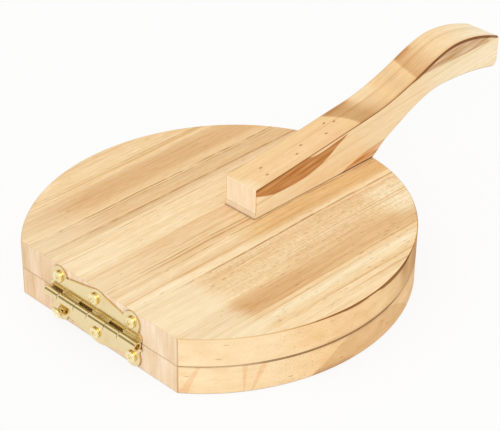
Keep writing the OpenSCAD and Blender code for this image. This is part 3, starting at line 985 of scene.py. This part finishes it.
def leaf_mesh(first, widths, flip, slack, drawn):
    """One leaf and its rolls: first is the +X end of the first roll, flip is -1 for the lower leaf, slack is
    how much tighter than the CAD's the rolls are, drawn is how their +X ends are drawn in."""
    bm = bmesh.new()
    made = {}

    def point(x, y, z):
        key = (round(x, 4), round(y, 4), round(z, 4))
        if key not in made:
            made[key] = bm.verts.new(Vector((x, FLAT_Y + y, SEAM_Z + flip * z)) * MM)
        return made[key]

    spans = [(first - i * KNUCKLE_PITCH, first - i * KNUCKLE_PITCH - widths) for i in range(KNUCKLES)]
    stations = [[(a - back, squeeze) for back, squeeze in drawn] + [(b, ROLL_TAPER)] for a, b in spans]
    half = HINGE_L / 2
    bottom = [-half] + sorted(x for row in stations for x, _ in row if abs(x) < half - NEAR) + [half]
    outline = leaf_top_edge()[:-1] + [(x, CUT_H) for x in bottom[:-1]]
    count = len(outline)
    for y in (0.0, SHEET_T):
        bm.faces.new([point(u, y, v) for u, v in outline])
    outer, inner = roll_profile()
    for i in range(count):
        (u, v), (p, q) = outline[i], outline[(i + 1) % count]
        in_roll = any(b - NEAR <= min(u, p) and max(u, p) <= a + NEAR for a, b in spans)
        if not (v == CUT_H and q == CUT_H and in_roll):
            bm.faces.new((point(u, 0, v), point(p, 0, q), point(p, SHEET_T, q), point(u, SHEET_T, v)))
    for row in stations:
        loops = []
        for x, squeeze in row:
            tight = [pinched(p, k, squeeze + slack) for k, p in enumerate(outer)]
            loops.append([point(x, *p) for p in [(SHEET_T, CUT_H)] + tight + inner[::-1] + [(0.0, CUT_H)]])
        for face in (loops[0], loops[-1]):
            last = len(face) - 1
            for k in range(len(outer)):
                bm.faces.new((face[k], face[k + 1], face[last - k - 1], face[last - k]))
        for one, other in zip(loops, loops[1:]):
            for k in range(len(one) - 1):
                bm.faces.new((one[k], other[k], other[k + 1], one[k + 1]))
    return mesh_of(bm, "leaf")


def ring(bm, place, sides, height, radii):
    """Vertices round the local axis, at one radius for each side, or a single one when they are 0.
    place turns local millimetres into the frame."""
    if radii[0] < TINY:
        return [bm.verts.new(place @ Vector((0, 0, height)) * MM)]
    angles = [2 * math.pi * k / sides for k in range(sides)]
    points = [Vector((r * math.cos(a), r * math.sin(a), height)) for r, a in zip(radii, angles)]
    return [bm.verts.new(place @ p * MM) for p in points]


def turned_rings(bm, profile, sides, place):
    """Rings of a profile of (radius, height) turned about its axis."""
    return [ring(bm, place, sides, h, [r] * sides) for r, h in profile]


def skin(bm, rings, name):
    """Ends a turned mesh: faces from each ring to the next, and nothing across its ends."""
    for low, high in zip(rings, rings[1:]):
        for k in range(max(len(low), len(high))):
            if len(low) == 1:
                bm.faces.new((low[0], high[(k + 1) % len(high)], high[k]))
            elif len(high) == 1:
                bm.faces.new((low[k], low[(k + 1) % len(low)], high[0]))
            else:
                j = (k + 1) % len(low)
                bm.faces.new((low[k], low[j], high[j], high[k]))
    return mesh_of(bm, name)


def turned_mesh(profile, sides, place):
    """Mesh of a profile of (radius, height) turned about its axis, closed where the radius is 0."""
    bm = bmesh.new()
    return skin(bm, turned_rings(bm, profile, sides, place), "turned")


def make_pin(material):
    end = HINGE_L / 2 - PIN_RECESS
    chamfer = 0.25
    profile = [(0, -end), (PIN_R - chamfer, -end), (PIN_R, -end + chamfer), (PIN_R, end - chamfer)]
    profile += [(PIN_R - chamfer, end), (0, end)]
    place = Matrix.Translation((0, FLAT_Y + PIN_OUT, SEAM_Z)) @ Matrix.Rotation(math.pi / 2, 4, "Y")
    pin = add_piece("pin", turned_mesh(profile, 40, place), "base", ["hinge_pin"], material)
    soften(pin, METAL_ROUND, 2)


TIP_REACH, TIP_HALF = 0.24, 0.36  # the tapered cross at its bottom, as shares of its width and its slot


def cross_cutter(width, depth, slot, place):
    """A tapered cross, the shape of a driver's tip, opening at local z = 0."""
    bm = bmesh.new()
    rings = []
    for z, reach, half in ((0.05, width / 2, slot / 2), (-depth, width * TIP_REACH, slot * TIP_HALF)):
        points = []
        for k in range(4):
            turn = Matrix.Rotation(math.pi / 2 * k, 4, "Z")
            points += [turn @ Vector((u, v, z)) for u, v in ((half, half), (half, reach), (-half, reach))]
        rings.append([bm.verts.new(place @ p * MM) for p in points])
    loft(bm, *rings)
    bm.faces.new(rings[0])
    bm.faces.new(rings[1][::-1])
    return place_object("cutter", mesh_of(bm, "cutter"))


def carve(piece, cutter):
    """Cuts cutter out of piece and removes it."""
    cut = piece.modifiers.new("carve", "BOOLEAN")
    cut.operation = "DIFFERENCE"
    cut.solver = "EXACT"
    cut.object = cutter
    bpy.context.view_layer.update()
    result = bpy.data.meshes.new_from_object(piece.evaluated_get(bpy.context.evaluated_depsgraph_get()))
    piece.modifiers.remove(cut)
    piece.data = result
    bpy.data.objects.remove(cutter)


SCREW_SIDES = 32
SHANK_STEP = 0.15   # height of the shank's facets
POINT_L = 2.4       # length of a screw's point, over its shank's radius
POINT_R = 0.12      # radius of the point's end, over the shank's
THREAD_DEPTH = 0.28
THREAD_PITCH = 0.9
THREAD_HALF = 0.28  # half the width of the ridge, as a share of the pitch
THREAD_FADE = 0.6   # length under the head over which the thread runs out


def threaded(z, k, radius, shank_r):
    """Radius of the thread at height z on side k, where the shank without a thread has this radius."""
    turn = (z / THREAD_PITCH - k / SCREW_SIDES) % 1.0
    ridge = max(0.0, 1 - abs(turn - 0.5) / THREAD_HALF)
    fade = min(1.0, max(0.0, -z / THREAD_FADE))
    return radius - THREAD_DEPTH * radius / shank_r * fade * (1 - ridge)


def screw_mesh(head, shank_r, shank_l, place):
    """A threaded shank that hangs from z = 0 under a turned head, given as (radius, height) points."""
    bm = bmesh.new()
    rings = []
    steps = int(shank_l / SHANK_STEP)
    for i in range(steps + 1):
        z = -shank_l + shank_l * i / steps
        share = min(1.0, (z + shank_l) / (POINT_L * shank_r))
        radius = shank_r * (POINT_R + (1 - POINT_R) * share)
        radii = [threaded(z, k, radius, shank_r) for k in range(SCREW_SIDES)]
        rings.append(ring(bm, place, SCREW_SIDES, z, radii))
    rings += turned_rings(bm, head, SCREW_SIDES, place)
    bm.faces.new(rings[0][::-1])
    return skin(bm, rings, "screw")


SHOULDER_R = 0.4    # rounding between the head's rim and its face
FACE_RISE = 0.22    # how far the face is domed
HEAD_CHAMFER = 0.08


def dome_head():
    """Profile of a domed head that sits on z = 0."""
    radius = DOME_D / 2
    face = radius - SHOULDER_R
    ball = (face * face + FACE_RISE * FACE_RISE) / (2 * FACE_RISE)
    tilt = math.degrees(math.asin(face / ball))
    shoulder = (face, DOME_H - FACE_RISE - SHOULDER_R)
    points = [(radius - HEAD_CHAMFER, 0.0), (radius, HEAD_CHAMFER)]
    points += arc(shoulder, SHOULDER_R, 0, 90 - tilt, 8)
    points += arc((0.0, DOME_H - ball), ball, 90 - tilt, 90, 8)[1:-1]
    return points + [(0.0, DOME_H)]


def sunk_head():
    """Profile of a countersunk head with its flat face at the top."""
    edge = (SUNK_HEAD_R - 0.05, SUNK_HEAD_H - HEAD_CHAMFER)
    return [(WOOD_SCREW_R, 0.05), edge, (SUNK_HEAD_R, SUNK_HEAD_H), (0.0, SUNK_HEAD_H)]


METAL_ROUND = 0.05
# The cross in a screw's head: width, depth, slot
HINGE_CROSS = (0.55 * DOME_D, 0.55, 0.5)
HANDLE_CROSS = (1.2 * SUNK_HEAD_R, 1.8, 0.8)
LOWER_TURN = 25     # how much further the lower hinge screws are turned
HANDLE_SCREW_TURNS = (15, 60)


def make_screw(name, body, slot, material, place, turn, head, shank_r, shank_l, cross):
    placed = place @ Matrix.Rotation(math.radians(turn), 4, "Z")
    mesh = screw_mesh(head, shank_r, shank_l, placed)
    screw = add_piece(name + "_piece", mesh, body, [name], material)
    carve(screw, cross_cutter(*cross, placed @ Matrix.Translation((0, 0, head[-1][1]))))
    soften(screw, METAL_ROUND, 2, angle=40)


def make_hinge():
    brass = brass_metal("bright_brass", BRASS, 0.18, 3.0, 0.5)
    screw_brass = brass_metal("screw_brass", HEAD_BRASS, 0.14, 8.0, 0.25, flank=True)
    half = HINGE_L / 2
    up_w = KNUCKLE_PITCH - LOW_KNUCKLE_W - 2 * KNUCKLE_AIR - KNUCKLE_SHIFT
    lower = leaf_mesh(half, LOW_KNUCKLE_W, -1, ROLL_TAPER, ((0.0, 0.0),))
    upper = leaf_mesh(half - LOW_KNUCKLE_W - KNUCKLE_AIR - KNUCKLE_SHIFT, up_w, 1, 0.0, DRAWN_IN)
    for name, mesh, body in (("hinge_leaf_lower", lower, "base"), ("hinge_leaf_upper", upper, "lid")):
        leaf = add_piece(name + "_piece", mesh, body, [name], brass)
        drill_hinge_holes(leaf, name.split("_")[-1], LEAF_HOLE_R, -1.5, 0.6)
        soften(leaf, SHEET_ROUND, 3, angle=35)
    make_pin(brass_metal("pin_brass", DARK_BRASS, 0.3, 5.0, 0.7))
    shape = (dome_head(), SHANK_R, SHANK_L, HINGE_CROSS)
    for level, body in (("lower", "base"), ("upper", "lid")):
        for side, turn in HINGE_SCREW_TURNS.items():
            place, out = hinge_screw_place(level, side)
            place = place @ Matrix.Translation((0, 0, out))
            name = f"{level}_screw_{side}"
            turn += LOWER_TURN if level == "lower" else 0
            make_screw(name, body, "screw_brass", screw_brass, place, turn, *shape)


def make_handle_screws():
    steel = steel_metal()
    length = BOARD_T - HEAD_SINK + SCREW_BITE - SUNK_HEAD_H
    shape = (sunk_head(), WOOD_SCREW_R, length, HANDLE_CROSS)
    face_z = SEAM_Z + HEAD_SINK + SUNK_HEAD_H
    for end, y, turn in zip(("inner", "outer"), HANDLE_SCREWS_Y, HANDLE_SCREW_TURNS):
        place = Matrix.Translation((0, y, face_z)) @ Matrix.Rotation(math.pi, 4, "X")
        make_screw("handle_screw_" + end, "lid", "screw_steel", steel, place, turn, *shape)


# ---- Camera, floor and light

CAMERA_AT = (-353.512, 346.856, 340.628)
CAMERA_AZIMUTH, CAMERA_ELEVATION, CAMERA_ROLL = 224.40, 32.55, 0.91
LENS = 121.25
SENSOR_W = 36.0


def make_camera():
    a, e, r = (math.radians(v) for v in (CAMERA_AZIMUTH, CAMERA_ELEVATION, CAMERA_ROLL))
    back = Vector((math.sin(a) * math.cos(e), -math.cos(a) * math.cos(e), math.sin(e)))
    right = (-back).cross(Vector((0, 0, 1))).normalized()
    up = right.cross(-back)
    rolled_right = right * math.cos(r) + up * math.sin(r)
    rolled_up = up * math.cos(r) - right * math.sin(r)
    data = bpy.data.cameras.new("camera")
    data.lens = LENS
    data.sensor_width = SENSOR_W
    data.sensor_fit = "HORIZONTAL"
    data.clip_start, data.clip_end = 0.01, 20.0
    camera = place_object("camera", data)
    turn = Matrix((rolled_right, rolled_up, back)).transposed().to_4x4()
    camera.matrix_world = Matrix.Translation(Vector(CAMERA_AT) * MM) @ turn
    bpy.context.scene.camera = camera


FLOOR_SIZE = 6.0
FLOOR_GREY = (0.9, 0.9, 0.9, 1)
FLOOR_GLOW = 0.84   # how much of the floor's white is its own, which leaves the rest to the shadow
WHITE = (1, 1, 1, 1)
SOFT_WHITE = (1, 0.99, 0.97, 1)
WORLD_LIGHT = 0.9


def seen_ray(g):
    """1 for rays that show the background: from the camera, in gloss and through glass."""
    path = g.node("ShaderNodeLightPath").outputs
    return g.either(path["Is Camera Ray"], path["Is Glossy Ray"], path["Is Transmission Ray"])


def flat_quad(name, corners):
    """A flat object with its corners in metres."""
    bm = bmesh.new()
    bm.faces.new([bm.verts.new(corner) for corner in corners])
    return place_object(name, mesh_of(bm, name))


SQUARE = ((-1, -1), (1, -1), (1, 1), (-1, 1))


def make_floor():
    half = FLOOR_SIZE / 2
    floor = flat_quad("floor", [(a * half, b * half, 0.0) for a, b in SQUARE])
    g = new_graph("floor")
    matt = g.node("ShaderNodeBsdfDiffuse", {"Color": FLOOR_GREY}).outputs[0]
    glow = g.node("ShaderNodeEmission", {"Color": WHITE}).outputs[0]
    floor.data.materials.append(g.output("Material", g.blend(seen_ray(g) * FLOOR_GLOW, matt, glow)))


def make_world():
    """Soft light all round, and a white background where it is seen."""
    g = Graph(bpy.data.worlds.new("studio"))
    soft = g.node("ShaderNodeBackground", {"Color": SOFT_WHITE, "Strength": WORLD_LIGHT}).outputs[0]
    white = g.node("ShaderNodeBackground", {"Color": WHITE, "Strength": 1.0}).outputs[0]
    bpy.context.scene.world = g.output("World", g.blend(seen_ray(g), soft, white))


KEY_AT, KEY_SIZE, KEY_POWER = (-0.6, 0.85, 0.75), 0.7, 3.0
AIM = (0, 0, 0.02)


def make_key():
    """A square soft lamp, aimed at the press."""
    data = bpy.data.lights.new("key", "AREA")
    data.shape = "SQUARE"
    data.size = KEY_SIZE
    data.energy = KEY_POWER
    lamp = place_object("key", data)
    lamp.location = KEY_AT
    lamp.rotation_mode = "QUATERNION"
    lamp.rotation_quaternion = (Vector(AIM) - Vector(KEY_AT)).to_track_quat("-Z", "Y")


FLAG_SIDE = (0.59, 0.60, 0.54)  # the barrel turns a look from the camera this way
FLAG_AWAY, FLAG_W, FLAG_H = 1.2, 0.6, 0.7
FLAG_GREY = (158, 154, 124)


def make_flag():
    """A dark card to the left of the camera. It shows only in the brass, as a dark line along the hinge."""
    away = Vector(FLAG_SIDE).normalized()
    across = away.cross((0, 0, 1)).normalized()
    up = across.cross(away)
    centre = away * FLAG_AWAY
    corners = [centre + across * a * FLAG_W / 2 + up * b * FLAG_H / 2 for a, b in SQUARE]
    flag = flat_quad("flag", corners)
    for ray in ("camera", "diffuse", "transmission", "volume_scatter", "shadow"):
        setattr(flag, f"visible_{ray}", False)
    g = new_graph("flag")
    inputs = {"Base Color": linear(FLAG_GREY), "Specular IOR Level": 0.0}
    flag.data.materials.append(g.output("Material", g.node("ShaderNodeBsdfPrincipled", inputs).outputs[0]))


def make_light():
    make_world()
    make_key()
    make_flag()
    bpy.context.scene.view_settings.view_transform = "Standard"


make_camera()
make_floor()
make_light()
make_boards()
make_handle()
make_hinge()
make_handle_screws()
